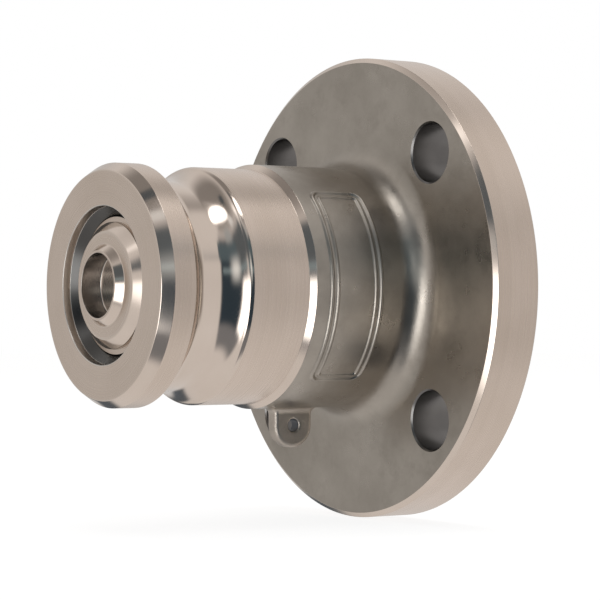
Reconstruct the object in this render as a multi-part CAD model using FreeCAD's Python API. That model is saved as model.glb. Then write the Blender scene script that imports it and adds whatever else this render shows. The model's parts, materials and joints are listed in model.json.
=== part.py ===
import FreeCAD, Part
import math
import os

# Flanged dry-disconnect adapter, nominal 2 inch pipe, with a spring-closed poppet in its nose.
# Millimetres. The pipe axis is Y: the flange's back plane, where the bolt holes end, is at Y = 0,
# the raised mating face stands above it and the nose points to -Y.
# Z is up, and the chain lug hangs below the neck.

Vec = FreeCAD.Vector
origin = Vec(0, 0, 0)
axis_x = Vec(1, 0, 0)
axis_y = Vec(0, 1, 0)

# flange, class 150 drilling
flange_r = 76.2
flange_disc = 17.45
raised_face_h = 1.6
raised_face_to_hole = 4.75
flange_front_bevel_r = 1.5
flange_front_bevel_y = 1.2
flange_back_bevel = 0.7
bolt_circle_to_edge = 15.875
bolt_hole_r = 9.525
bolt_count = 4
bolt_start_deg = 45.0
bolt_edge_break = 0.5

# neck, shoulder and nose outside
overall_length = 114.6
neck_r = 39.5
neck_fillet = 8.5
neck_length = 41.1
neck_bevel_y = 1.8
shoulder_r = 37.9
shoulder_length = 21.2
shoulder_edge = 2.0
groove_depth = 4.6
groove_back_slope_deg = 50.0
groove_back_r = 10.5
groove_front_slope_deg = 75.0
groove_front_r = 6.0
rim_r = 38.3
rim_length = 7.7
rim_edge = 0.5
rim_bevel_r = 2.4
rim_bevel_y = 2.95
nose_edge = 0.7

# nose mouth, throat, valve seat and flow chamber
mouth_r = 24.8
mouth_depth = 2.6
mouth_edge = 0.3
throat_r = 22.0
throat_length = 1.5
seat_angle_deg = 45.0
chamber_r = 29.0
spider_bore_r = 31.5
spider_bore_depth = 18.0
spider_bore_bevel = 1.0

# chain lug under the neck
lug_length = 14.5
lug_thickness = 5.0
lug_drop = 12.8
lug_edge = 1.4
lug_setback = 8.9
lug_hole_r = 2.1
lug_hole_dish_r = 2.8
lug_hole_dish_depth = 0.5

# bare cast panel on the side of the neck
panel_length = 20.0
panel_half_height = 30.0
panel_corner = 4.0
panel_rim = 1.1
panel_gap = 1.3
panel_proud = 0.5
panel_setback = 5.2

# poppet head
cup_r = 10.15
cup_depth = 7.0
cup_lip = 0.75
cup_proud = 1.4
boss_base_r = 12.9
poppet_face_r = 16.7
poppet_face_depth = 1.0
poppet_face_edge = 1.5
poppet_flank_r = 19.9
poppet_flank_depth = 3.7
poppet_ring_depth = 4.9
poppet_ring_clearance = 0.4
seal_spigot_r = 15.0
seal_thickness = 2.9
seal_seat_gap = 0.3
poppet_boss_r = 9.0

# seal retainer, its lock washer and nut
retainer_r = 24.2
retainer_thickness = 3.0
retainer_bevel = 1.2
retainer_hub_r = 14.8
retainer_hub_h = 1.2
bore_clearance = 0.05
lock_washer_r = 13.0
lock_washer_h = 1.6
lock_washer_slit = 1.2
nut_across_flats = 24.0
nut_h = 6.0
boss_past_nut = 1.0

# stem and its travel
stem_r = 6.5
stem_tail_r = 5.0
stem_thread_depth = 11.0
stem_tail_bevel = 1.0
stem_shoulder_edge = 0.5
poppet_travel = 15.0
stop_gap = 0.3
stem_tail_past_hub = 3.0

# guide spider and bushing
spider_rim_r = 27.0
spider_rim_length = 7.0
spider_fit = 0.1
spider_hub_r = 9.5
spider_hub_back = 3.0
spider_hub_length = 20.5
spider_arm_count = 3
spider_arm_thickness = 5.0
spider_arm_length = 12.0
spider_arm_back = 3.0
spider_arm_start_deg = 90.0
bushing_r = 7.0
bushing_flange_r = 9.0
bushing_flange_h = 1.5
running_clearance = 0.05

# retaining ring in the spider bore
ring_groove_depth = 1.5
ring_groove_side = 0.1
ring_thickness = 2.0
ring_radial_play = 0.1
ring_width = 4.2
ring_gap_deg = 34.0
ring_lug_r = 3.2
ring_eye_r = 1.25

# return spring and its seat washer
wire_r = 1.6
spring_mean_r = 17.0
spring_turns = 7.5
spring_end_grind = 0.8
spring_seat_r = 19.5
spring_seat_h = 1.6

# bolt circle and raised face, tied to the flange's edge
bolt_circle_r = flange_r - bolt_circle_to_edge
raised_face_r = bolt_circle_r - bolt_hole_r - raised_face_to_hole

# stations along the axis, worked out from the sizes above
mating_y = raised_face_h
nose_y = mating_y - overall_length
flange_back_y = 0.0
flange_front_y = flange_back_y - flange_disc
neck_front_y = flange_front_y - neck_length
shoulder_back_y = neck_front_y - neck_bevel_y
shoulder_front_y = shoulder_back_y - shoulder_length
rim_front_y = nose_y + nose_edge + rim_bevel_y
rim_back_y = rim_front_y + rim_length
groove_r = shoulder_r - groove_depth
lead_cone_length = mouth_r - throat_r
throat_front_y = nose_y + mouth_depth + lead_cone_length
throat_back_y = throat_front_y + throat_length
seat_slope = math.tan(math.radians(seat_angle_deg))
seat_back_y = throat_back_y + (chamber_r - throat_r) / seat_slope

lip_y = nose_y - cup_proud
poppet_face_y = nose_y + poppet_face_depth
poppet_ring_y = nose_y + poppet_ring_depth
poppet_ring_r = throat_r - poppet_ring_clearance
seal_front_y = throat_back_y + seal_seat_gap
seal_back_y = seal_front_y + seal_thickness
retainer_back_y = seal_back_y + retainer_thickness
washer_front_y = retainer_back_y + retainer_hub_h
nut_front_y = washer_front_y + lock_washer_h
nut_back_y = nut_front_y + nut_h
boss_back_y = nut_back_y + boss_past_nut

spider_front_y = mating_y - spider_bore_depth
spider_back_y = spider_front_y + spider_rim_length
hub_back_y = spider_back_y - spider_hub_back
hub_front_y = hub_back_y - spider_hub_length
bushing_front_y = hub_front_y - bushing_flange_h
arm_back_y = spider_back_y - spider_arm_back
arm_front_y = arm_back_y - spider_arm_length
spring_back_y = arm_front_y - spring_seat_h
stem_shoulder_y = bushing_front_y - poppet_travel - stop_gap
stem_end_y = hub_back_y - stem_tail_past_hub
ring_front_y = spider_back_y
ring_back_y = ring_front_y + ring_thickness


def corner_arc(before, corner, after, radius):
    """Ends and middle of the arc that rounds one corner of an outline."""
    to_before = (before - corner).normalize()
    to_after = (after - corner).normalize()
    half = to_before.getAngle(to_after) / 2
    start = corner + to_before * (radius / math.tan(half))
    end = corner + to_after * (radius / math.tan(half))
    bisector = (to_before + to_after).normalize()
    centre = corner + bisector * (radius / math.sin(half))
    return start, centre - bisector * radius, end


def outline_face(corners):
    """Closed face in the Y-X plane from (y, r) corners, each with an optional rounding radius."""
    points = [Vec(c[1], c[0], 0) for c in corners]
    radii = [c[2] if len(c) > 2 else 0 for c in corners]
    stops = []
    for i, point in enumerate(points):
        if radii[i]:
            stops.append(corner_arc(points[i - 1], point, points[(i + 1) % len(points)], radii[i]))
        else:
            stops.append((point, None, point))
    edges = []
    for i, (start, middle, end) in enumerate(stops):
        if middle:
            edges.append(Part.Arc(start, middle, end).toShape())
        following = stops[(i + 1) % len(stops)][0]
        if end.distanceToPoint(following) > 1e-6:
            edges.append(Part.LineSegment(end, following).toShape())
    return Part.Face(Part.Wire(edges))


def turned(corners):
    """Solid of revolution about the pipe axis."""
    return outline_face(corners).revolve(origin, axis_y, 360)


def rod(radius, front_y, back_y, x=0.0, z=0.0):
    """Cylinder along the pipe axis."""
    return Part.makeCylinder(radius, back_y - front_y, Vec(x, front_y, z), axis_y)


def tube(inner_r, outer_r, front_y, back_y):
    """Ring along the pipe axis."""
    return turned([(front_y, inner_r), (front_y, outer_r), (back_y, outer_r), (back_y, inner_r)])


def save(node, shape):
    """Write one node after checking that its solids are sound."""
    for solid in shape.Solids:
        if not solid.isValid():
            raise ValueError(node + " is not a sound solid")
    shape.exportStep("parts/" + node + ".step")
    print(node, len(shape.Solids), "solid", round(shape.Volume / 1000, 2), "cm3")


def outside_corners():
    """Outside of the body, from the nose's mouth round to the flange's mating face."""
    back_rise = math.tan(math.radians(groove_back_slope_deg))
    front_rise = math.tan(math.radians(groove_front_slope_deg))
    groove_back_y = shoulder_front_y - groove_depth / back_rise
    groove_front_y = rim_back_y + (rim_r - groove_r) / front_rise
    return [
        (nose_y, rim_r - rim_bevel_r, nose_edge),
        (rim_front_y, rim_r),
        (rim_back_y, rim_r, rim_edge),
        (groove_front_y, groove_r, groove_front_r),
        (groove_back_y, groove_r, groove_back_r),
        (shoulder_front_y, shoulder_r, shoulder_edge),
        (shoulder_back_y, shoulder_r),
        (neck_front_y, neck_r),
        (flange_front_y, neck_r, neck_fillet),
        (flange_front_y, flange_r - flange_front_bevel_r),
        (flange_front_y + flange_front_bevel_y, flange_r),
        (flange_back_y - flange_back_bevel, flange_r),
        (flange_back_y, flange_r - flange_back_bevel),
        (flange_back_y, raised_face_r),
        (mating_y, raised_face_r),
    ]


def inside_corners():
    """Inside of the body, from the pipe end back to the mouth."""
    groove_y = ring_back_y + ring_groove_side
    ring_groove_r = spider_bore_r + ring_groove_depth
    return [
        (mating_y, spider_bore_r + spider_bore_bevel),
        (mating_y - spider_bore_bevel, spider_bore_r),
        (groove_y, spider_bore_r),
        (groove_y, ring_groove_r),
        (ring_front_y - ring_groove_side, ring_groove_r),
        (ring_front_y - ring_groove_side, spider_bore_r),
        (spider_front_y, spider_bore_r),
        (spider_front_y, chamber_r),
        (seat_back_y, chamber_r),
        (throat_back_y, throat_r),
        (throat_front_y, throat_r),
        (nose_y + mouth_depth, mouth_r),
        (nose_y, mouth_r, mouth_edge),
    ]


def bolt_holes():
    """Four through holes that straddle the centre lines, with broken edges at the front."""
    cutters = []
    for i in range(bolt_count):
        angle = math.radians(bolt_start_deg + i * 360 / bolt_count)
        x = bolt_circle_r * math.cos(angle)
        z = bolt_circle_r * math.sin(angle)
        cutters.append(rod(bolt_hole_r, flange_front_y - neck_fillet, flange_back_y + 1, x, z))
        wide = bolt_hole_r + bolt_edge_break
        front = Vec(x, flange_front_y, z)
        cutters.append(Part.makeCone(wide, bolt_hole_r, bolt_edge_break, front, axis_y))
    return cutters


def chain_lug():
    """Rounded tab below the neck, in the plane of the axis, with a dished hole."""
    centre_y = neck_front_y + lug_setback + lug_length / 2
    half = lug_length / 2
    round_z = -neck_r - lug_drop + half
    left = -lug_thickness / 2
    root_z = -(chamber_r + neck_r) / 2
    block_corner = Vec(left, centre_y - half, round_z)
    block = Part.makeBox(lug_thickness, lug_length, root_z - round_z, block_corner)
    tip = Part.makeCylinder(half, lug_thickness, Vec(left, centre_y, round_z), axis_x)
    lug = block.fuse(tip).removeSplitter()
    rims = [e for e in lug.Edges if e.BoundBox.ZMin < root_z - 0.1 and e.BoundBox.XLength < 0.01]
    lug = lug.makeFillet(lug_edge, rims)
    hole = Part.makeCylinder(lug_hole_r, lug_thickness + 2, Vec(left - 1, centre_y, round_z), axis_x)
    dish_base = Vec(-left - lug_hole_dish_depth, centre_y, round_z)
    dish = Part.makeCone(lug_hole_r, lug_hole_dish_r, lug_hole_dish_depth, dish_base, axis_x)
    other_side = Vec(left + lug_hole_dish_depth, centre_y, round_z)
    other_dish = Part.makeCone(lug_hole_r, lug_hole_dish_r, lug_hole_dish_depth, other_side, -axis_x)
    return lug, hole.fuse([dish, other_dish])


def rounded_plate(inset):
    """Flat plate with rounded corners, standing on the pipe axis and facing +X."""
    low_y = neck_front_y + panel_setback + inset
    size_y = panel_length - 2 * inset
    half_z = panel_half_height - inset
    plate = Part.makeBox(neck_r + 5, size_y, 2 * half_z, Vec(0, low_y, -half_z))
    corners = [e for e in plate.Edges if e.BoundBox.XLength > 1]
    return plate.makeFillet(panel_corner - inset, corners)


def cast_panel():
    """Two thin raised rims round a bare field, wrapped on the neck."""
    skin = tube(neck_r - 1, neck_r + panel_proud, neck_front_y, flange_front_y)
    outer = rounded_plate(0).cut(rounded_plate(panel_rim))
    step = panel_rim + panel_gap
    inner = rounded_plate(step).cut(rounded_plate(step + panel_rim * 0.7))
    return [skin.common(outer), skin.common(inner)]


def make_body():
    """Cast and machined body: nose, groove, shoulder, neck and flange in one piece."""
    body = turned(outside_corners() + inside_corners())
    lug, lug_cut = chain_lug()
    body = body.fuse([lug] + cast_panel())
    body = body.cut(bolt_holes() + [lug_cut])
    return body.removeSplitter()


def make_poppet_head():
    """Turned valve head: cup for the mating stem, face, ring in the throat and rear boss."""
    lip_r = cup_r + cup_lip
    stem_bore_y = boss_back_y - stem_thread_depth
    head = turned([
        (lip_y + cup_depth, 0),
        (lip_y + cup_depth, cup_r),
        (lip_y, cup_r),
        (lip_y, lip_r),
        (poppet_face_y, boss_base_r),
        (poppet_face_y, poppet_face_r, poppet_face_edge),
        (nose_y + poppet_flank_depth, poppet_flank_r),
        (poppet_ring_y, poppet_flank_r),
        (poppet_ring_y, poppet_ring_r),
        (seal_front_y, poppet_ring_r),
        (seal_front_y, seal_spigot_r),
        (seal_back_y, seal_spigot_r),
        (seal_back_y, poppet_boss_r),
        (boss_back_y, poppet_boss_r),
        (boss_back_y, stem_tail_r),
        (stem_bore_y, stem_tail_r),
        (stem_bore_y, 0),
    ])
    return head


def seat_radius(y):
    """Radius of the valve seat at a station on the axis."""
    return throat_r + (y - throat_back_y) * seat_slope


def make_poppet_seal():
    """Ring with a sloping flank that closes on the seat."""
    inset = seal_seat_gap / math.cos(math.radians(seat_angle_deg))
    return turned([
        (seal_front_y, seal_spigot_r),
        (seal_front_y, seat_radius(seal_front_y) - inset),
        (seal_back_y, seat_radius(seal_back_y) - inset),
        (seal_back_y, seal_spigot_r),
    ])


def make_seal_retainer():
    """Disc that clamps the seal, with a hub that centres the spring."""
    bore = poppet_boss_r + bore_clearance
    return turned([
        (seal_back_y, bore),
        (seal_back_y, retainer_r),
        (retainer_back_y - retainer_bevel, retainer_r),
        (retainer_back_y, retainer_r - retainer_bevel),
        (retainer_back_y, retainer_hub_r),
        (washer_front_y, retainer_hub_r),
        (washer_front_y, bore),
    ])


def make_lock_washer():
    """Split spring washer under the nut."""
    ring = tube(poppet_boss_r + bore_clearance, lock_washer_r, washer_front_y, nut_front_y)
    corner = Vec(-lock_washer_slit / 2, washer_front_y - 1, 0)
    slit = Part.makeBox(lock_washer_slit, lock_washer_h + 2, lock_washer_r, corner)
    return ring.cut(slit)


def make_retainer_nut():
    """Thin hexagon nut on the poppet's boss."""
    corner_r = nut_across_flats / math.sqrt(3)
    corners = [Vec(corner_r * math.cos(math.radians(60 * i)), nut_front_y,
                   corner_r * math.sin(math.radians(60 * i))) for i in range(7)]
    hexagon = Part.Face(Part.makePolygon(corners)).extrude(Vec(0, nut_h, 0))
    bevel = corner_r - nut_across_flats / 2
    turned_blank = turned([
        (nut_front_y, 0),
        (nut_front_y, corner_r - bevel),
        (nut_front_y + bevel * 0.6, corner_r + 0.01),
        (nut_back_y - bevel * 0.6, corner_r + 0.01),
        (nut_back_y, corner_r - bevel),
        (nut_back_y, 0),
    ])
    bore = rod(poppet_boss_r + bore_clearance, nut_front_y - 1, nut_back_y + 1)
    return hexagon.common(turned_blank).cut(bore)


def make_poppet_stem():
    """Stem screwed into the head; its shoulder stops on the bushing when the valve is open."""
    thread_front_y = boss_back_y - stem_thread_depth
    thread_r = stem_tail_r - bore_clearance
    return turned([
        (thread_front_y + bore_clearance, 0),
        (thread_front_y + bore_clearance, thread_r),
        (boss_back_y, thread_r),
        (boss_back_y, stem_r),
        (stem_shoulder_y, stem_r, stem_shoulder_edge),
        (stem_shoulder_y, stem_tail_r),
        (stem_end_y - stem_tail_bevel, stem_tail_r),
        (stem_end_y, stem_tail_r - stem_tail_bevel),
        (stem_end_y, 0),
    ])


def make_return_spring():
    """Round-wire compression spring with ground ends."""
    front_y = retainer_back_y
    length = spring_back_y - front_y
    overrun = wire_r - spring_end_grind
    height = length - 2 * wire_r + 2 * overrun
    helix = Part.makeHelix(height / spring_turns, height, spring_mean_r)
    section = Part.Wire(Part.makeCircle(wire_r, Vec(spring_mean_r, 0, 0), Vec(0, 1, 0)))
    coil = Part.Wire(helix).makePipeShell([section], True, True)
    coil.rotate(origin, axis_x, -90)
    coil.translate(Vec(0, front_y + wire_r - overrun, 0))
    return coil.common(rod(spring_mean_r + 3 * wire_r, front_y, spring_back_y))


def make_spring_seat():
    """Flat washer between the spring and the spider's arms."""
    return tube(spider_hub_r + spider_fit, spring_seat_r, spring_back_y, arm_front_y)


def make_guide_spider():
    """Rim, hub and radial arms that guide the stem in the flow."""
    rim = tube(spider_rim_r, spider_bore_r - spider_fit, spider_front_y, spider_back_y)
    hub = rod(spider_hub_r, hub_front_y, hub_back_y)
    arm_end_r = (spider_rim_r + spider_bore_r) / 2
    rim_slope = arm_front_y - spider_front_y
    arm_outline = [
        Vec(0, arm_front_y, 0),
        Vec(spring_seat_r + spider_fit, arm_front_y, 0),
        Vec(arm_end_r + rim_slope * 0.25, spider_front_y + 0.5, 0),
        Vec(arm_end_r, spider_front_y + 1, 0),
        Vec(arm_end_r, spider_back_y - 1, 0),
        Vec(spider_rim_r - 1, arm_back_y, 0),
        Vec(0, arm_back_y, 0),
    ]
    blank = Part.Face(Part.makePolygon(arm_outline + arm_outline[:1]))
    arm = blank.extrude(Vec(0, 0, spider_arm_thickness))
    arm.translate(Vec(0, 0, -spider_arm_thickness / 2))
    arms = []
    for i in range(spider_arm_count):
        turn = arm.copy()
        turn.rotate(origin, axis_y, -(spider_arm_start_deg + i * 360 / spider_arm_count))
        arms.append(turn)
    spider = rim.fuse([hub] + arms).removeSplitter()
    return spider.cut(rod(bushing_r + bore_clearance, hub_front_y - 1, hub_back_y + 1))


def make_stem_bushing():
    """Flanged plastic bushing pressed into the hub."""
    bore = stem_tail_r + running_clearance
    return turned([
        (bushing_front_y, bore),
        (bushing_front_y, bushing_flange_r),
        (hub_front_y, bushing_flange_r),
        (hub_front_y, bushing_r),
        (hub_back_y, bushing_r),
        (hub_back_y, bore),
    ])


def make_retaining_ring():
    """Internal snap ring with two eyed lugs at its gap."""
    outer_r = spider_bore_r + ring_groove_depth - ring_radial_play
    ring = tube(outer_r - ring_width, outer_r, ring_front_y, ring_back_y)
    eye_ring_r = outer_r - ring_width - ring_lug_r * 0.25
    half_gap = math.radians(ring_gap_deg / 2)
    lugs = []
    eyes = []
    for side in (-1, 1):
        angle = math.radians(-90) + side * (half_gap + ring_lug_r / eye_ring_r)
        x = eye_ring_r * math.cos(angle)
        z = eye_ring_r * math.sin(angle)
        lugs.append(rod(ring_lug_r, ring_front_y, ring_back_y, x, z))
        eyes.append(rod(ring_eye_r, ring_front_y - 1, ring_back_y + 1, x, z))
    far = 2 * outer_r
    wedge_corners = [
        Vec(0, ring_front_y - 1, 0),
        Vec(-far * math.sin(half_gap), ring_front_y - 1, -far * math.cos(half_gap)),
        Vec(far * math.sin(half_gap), ring_front_y - 1, -far * math.cos(half_gap)),
    ]
    wedge = Part.Face(Part.makePolygon(wedge_corners + wedge_corners[:1]))
    gap = wedge.extrude(Vec(0, ring_thickness + 2, 0))
    return ring.fuse(lugs).cut([gap] + eyes).removeSplitter()


os.makedirs("parts", exist_ok=True)
save("adapter_body", make_body())
save("poppet_head", make_poppet_head())
save("poppet_seal", make_poppet_seal())
save("seal_retainer", make_seal_retainer())
save("lock_washer", make_lock_washer())
save("retainer_nut", make_retainer_nut())
save("poppet_stem", make_poppet_stem())
save("return_spring", make_return_spring())
save("spring_seat", make_spring_seat())
save("guide_spider", make_guide_spider())
save("stem_bushing", make_stem_bushing())
save("retaining_ring", make_retaining_ring())
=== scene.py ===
import bpy
import bmesh
import json
import math
from mathutils import Matrix, Vector


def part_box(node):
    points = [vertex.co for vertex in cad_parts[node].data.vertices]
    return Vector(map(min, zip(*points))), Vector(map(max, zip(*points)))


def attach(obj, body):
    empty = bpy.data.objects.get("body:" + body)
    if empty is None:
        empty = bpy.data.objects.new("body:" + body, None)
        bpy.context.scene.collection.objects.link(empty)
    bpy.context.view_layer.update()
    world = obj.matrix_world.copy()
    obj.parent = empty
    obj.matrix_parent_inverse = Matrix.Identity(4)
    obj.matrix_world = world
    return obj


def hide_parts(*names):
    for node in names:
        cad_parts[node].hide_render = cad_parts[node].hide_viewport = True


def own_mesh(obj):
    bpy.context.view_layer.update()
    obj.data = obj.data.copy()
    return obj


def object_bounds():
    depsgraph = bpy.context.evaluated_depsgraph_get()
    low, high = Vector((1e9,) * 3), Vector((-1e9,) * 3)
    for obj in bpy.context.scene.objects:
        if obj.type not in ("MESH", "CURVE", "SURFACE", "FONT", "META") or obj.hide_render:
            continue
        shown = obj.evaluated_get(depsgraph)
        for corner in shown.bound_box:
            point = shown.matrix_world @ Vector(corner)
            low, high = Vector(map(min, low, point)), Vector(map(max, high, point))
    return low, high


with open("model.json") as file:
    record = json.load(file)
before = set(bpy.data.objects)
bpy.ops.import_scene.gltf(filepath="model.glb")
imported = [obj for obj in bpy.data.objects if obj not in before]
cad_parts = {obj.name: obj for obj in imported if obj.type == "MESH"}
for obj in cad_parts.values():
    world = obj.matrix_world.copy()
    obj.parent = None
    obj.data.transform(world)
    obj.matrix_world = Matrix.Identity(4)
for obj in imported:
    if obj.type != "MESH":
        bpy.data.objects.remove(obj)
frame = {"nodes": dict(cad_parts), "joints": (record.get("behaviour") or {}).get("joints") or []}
cadLow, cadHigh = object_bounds()
print("frame loaded:", len(frame["nodes"]), "nodes")

mm = 0.001
turn = 2 * math.pi
joint = frame["joints"][0]
travel = joint["range_m"][1]
tiny = 1e-6  # a micrometre: points closer than this are one point
overcut = 1  # how far cutters reach past what they cut, in millimetres

# edges as the tool leaves them: (rounding in millimetres, segments)
hairEdge = (0.1, 2)
keenEdge = (0.15, 2)
sharpEdge = (0.15, 3)
crispEdge = (0.2, 3)
softEdge = (0.25, 3)
brokenEdge = (0.3, 3)
dullEdge = (0.4, 3)
fullEdge = (0.5, 4)
roundEdge = (0.6, 3)


# helpers shared by all pieces

def hexColour(text):
    # sRGB hex to the linear colour that shaders take
    parts = [int(text[i:i + 2], 16) / 255 for i in (1, 3, 5)]
    linear = [c / 12.92 if c <= 0.04045 else ((c + 0.055) / 1.055) ** 2.4 for c in parts]
    return (*linear, 1)


def addNode(tree, kind, settings=None, links=None):
    node = tree.nodes.new(kind)
    for key, value in (settings or {}).items():
        if isinstance(key, int) or key in node.inputs:
            node.inputs[key].default_value = value
        else:
            setattr(node, key, value)
    for key, socket in (links or {}).items():
        tree.links.new(socket, node.inputs[key])
    return node


def profileWire(corners, closed=True):
    # corners are (y, r) or (y, r, rounding radius, segments), in millimetres
    bm = bmesh.new()
    rows = [tuple(c) + (0, 0) * (len(c) == 2) for c in corners]
    verts = [bm.verts.new((row[1] * mm, row[0] * mm, 0)) for row in rows]
    ends = verts[1:] + verts[:1] if closed else verts[1:]
    for a, b in zip(verts, ends):
        bm.edges.new((a, b))
    for vert, row in zip(verts, rows):
        if row[2]:
            a, b = [e.other_vert(vert) for e in vert.link_edges]
            half = (a.co - vert.co).angle(b.co - vert.co) / 2
            bmesh.ops.bevel(bm, geom=[vert], offset=row[2] * mm / math.tan(half), offset_type="OFFSET",
                            segments=row[3], profile=0.5, affect="VERTICES", material=-1)
    return bm


def spinRound(bm, steps):
    # full turn about the pipe axis, poles closed and faces outward
    bmesh.ops.spin(bm, geom=bm.verts[:] + bm.edges[:], cent=(0, 0, 0), axis=(0, 1, 0),
                   dvec=(0, 0, 0), angle=turn, steps=steps, use_merge=True, use_duplicate=False)
    bmesh.ops.remove_doubles(bm, verts=bm.verts, dist=tiny)
    bmesh.ops.recalc_face_normals(bm, faces=bm.faces)
    return bm


def looseObject(bm, name):
    mesh = bpy.data.meshes.new(name)
    bm.to_mesh(mesh)
    bm.free()
    made = bpy.data.objects.new(name, mesh)
    bpy.context.scene.collection.objects.link(made)
    return made


def booleanWith(target, others, operation):
    # the tool objects are used up
    for other in others:
        modifier = target.modifiers.new("cut", "BOOLEAN")
        modifier.object = other
        modifier.operation = operation
        modifier.solver = "EXACT"
    evaluated = target.evaluated_get(bpy.context.evaluated_depsgraph_get())
    mesh = bpy.data.meshes.new_from_object(evaluated)
    target.modifiers.clear()
    target.data = mesh
    for other in others:
        bpy.data.objects.remove(other)
    return target


def dressPiece(piece, body, materials, node=None, region=None, sharp=28):
    # smooth faces, crisp edges, materials by region, and its place in the frame
    piece.data.materials.clear()
    for material in materials:
        piece.data.materials.append(material)
    bm = bmesh.new()
    bm.from_mesh(piece.data)
    bmesh.ops.remove_doubles(bm, verts=bm.verts, dist=tiny / 10)
    for face in bm.faces:
        face.smooth = True
        face.material_index = region(face) if region else 0
    for edge in bm.edges:
        crisp = len(edge.link_faces) != 2 or edge.calc_face_angle() > math.radians(sharp)
        edge.smooth = not crisp
    bm.to_mesh(piece.data)
    bm.free()
    weighted = piece.modifiers.new("evenNormals", "WEIGHTED_NORMAL")
    weighted.keep_sharp = True
    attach(piece, body)
    if node:
        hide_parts(node)
    return piece


def turnedPiece(name, corners, steps, closed=True):
    return looseObject(spinRound(profileWire(corners, closed), steps), name)


# materials

# the real feed is about 0.15 mm, drawn coarser to show; bands and smudges are the tool's and the hand's
latheFeed = {"drawnPitch": 0.45, "depth": 0.0005, "band": 5, "smudge": 22}


def axisCoordinates(tree):
    # (distance from the pipe axis, place along it), so marks run round the part as a lathe leaves them
    where = addNode(tree, "ShaderNodeTexCoord").outputs["Object"]
    split = addNode(tree, "ShaderNodeSeparateXYZ", {}, {0: where})
    flat = addNode(tree, "ShaderNodeCombineXYZ", {}, {"X": split.outputs["X"], "Z": split.outputs["Z"]})
    radius = addNode(tree, "ShaderNodeVectorMath", {"operation": "LENGTH"}, {0: flat.outputs[0]})
    lathe = addNode(tree, "ShaderNodeCombineXYZ", {},
                    {"X": radius.outputs["Value"], "Y": split.outputs["Y"]})
    return where, lathe.outputs[0]


def newMetal(name, roughness):
    material = bpy.data.materials.new(name)
    material.use_nodes = True
    tree = material.node_tree
    shader = tree.nodes["Principled BSDF"]
    shader.inputs["Metallic"].default_value = 1.0
    shader.inputs["Roughness"].default_value = roughness
    return material, tree, shader


def addNoise(tree, where, size, detail, roughness=0.5, flat=False):
    # noise with features about size millimetres wide; flat is for the lathe's two coordinates
    settings = {
        "noise_dimensions": "2D" if flat else "3D", "Scale": 1 / (size * mm),
        "Detail": detail, "Roughness": roughness,
    }
    return addNode(tree, "ShaderNodeTexNoise", settings, {"Vector": where}).outputs[0]


def machinedStainless(name, light, dark, rough, markDepth):
    # 316 stainless as the lathe leaves it: warm grey, soft sheen, faint rings round the axis
    material, tree, shader = newMetal(name, rough)
    where, lathe = axisCoordinates(tree)
    rings = addNoise(tree, lathe, latheFeed["drawnPitch"], 3.0, roughness=0.6, flat=True)
    broad = addNoise(tree, lathe, latheFeed["band"], 2.0, flat=True)
    smudge = addNoise(tree, where, latheFeed["smudge"], 4.0)
    tint = addNode(tree, "ShaderNodeMath", {"operation": "MULTIPLY_ADD", 1: 0.35}, {0: broad, 2: smudge})
    ramp = addNode(tree, "ShaderNodeMapRange", {"From Min": 0.45, "From Max": 0.95},
                   {"Value": tint.outputs[0]})
    colour = addNode(tree, "ShaderNodeMix",
                     {"data_type": "RGBA", 6: hexColour(dark), 7: hexColour(light)}, {0: ramp.outputs[0]})
    tree.links.new(colour.outputs[2], shader.inputs["Base Color"])
    sheen = addNode(tree, "ShaderNodeMapRange",
                    {"From Min": 0.3, "From Max": 0.7, "To Min": rough * 0.94, "To Max": rough * 1.06},
                    {"Value": rings})
    tree.links.new(sheen.outputs[0], shader.inputs["Roughness"])
    bump = addNode(tree, "ShaderNodeBump", {"Strength": 1.0, "Distance": markDepth * mm}, {"Height": rings})
    tree.links.new(bump.outputs[0], shader.inputs["Normal"])
    return material


castFinish = {
    "light": "#b0a9a0", "dark": "#a39c93", "stain": "#938c83",
    "rough": 0.31, "smoother": 0.05, "rougher": 0.07,
    "grit": 0.45, "gritDepth": 0.035, "wave": 7.0, "waveDepth": 0.09, "patch": 26, "spot": 11,
}


def castStainless(name, finish):
    # investment-cast 316, shot-blasted: dull brownish grey, fine grit, soft waves that bend highlights
    material, tree, shader = newMetal(name, finish["rough"])
    where = addNode(tree, "ShaderNodeTexCoord").outputs["Object"]
    grit = addNoise(tree, where, finish["grit"], 2.0, roughness=0.6)
    wave = addNoise(tree, where, finish["wave"], 3.0)
    patch = addNoise(tree, where, finish["patch"], 6.0, roughness=0.62)
    spot = addNoise(tree, where, finish["spot"], 5.0, roughness=0.7)
    patchRange = addNode(tree, "ShaderNodeMapRange", {"From Min": 0.38, "From Max": 0.62}, {"Value": patch})
    base = addNode(tree, "ShaderNodeMix",
                   {"data_type": "RGBA", 6: hexColour(finish["dark"]), 7: hexColour(finish["light"])},
                   {0: patchRange.outputs[0]})
    stainRange = addNode(tree, "ShaderNodeMapRange",
                         {"From Min": 0.52, "From Max": 0.72, "To Max": 0.5}, {"Value": spot})
    colour = addNode(tree, "ShaderNodeMix", {"data_type": "RGBA", 7: hexColour(finish["stain"])},
                     {0: stainRange.outputs[0], 6: base.outputs[2]})
    tree.links.new(colour.outputs[2], shader.inputs["Base Color"])
    sheen = addNode(tree, "ShaderNodeMapRange",
                    {"From Min": 0.3, "From Max": 0.7,
                     "To Min": finish["rough"] - finish["smoother"],
                     "To Max": finish["rough"] + finish["rougher"]},
                    {"Value": wave})
    tree.links.new(sheen.outputs[0], shader.inputs["Roughness"])
    waveBump = addNode(tree, "ShaderNodeBump", {"Distance": finish["waveDepth"] * mm}, {"Height": wave})
    gritBump = addNode(tree, "ShaderNodeBump", {"Distance": finish["gritDepth"] * mm},
                       {"Height": grit, "Normal": waveBump.outputs[0]})
    tree.links.new(gritBump.outputs[0], shader.inputs["Normal"])
    return material


cloudSize = 6  # soft clouds of colour in plastic and rubber, in millimetres


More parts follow.
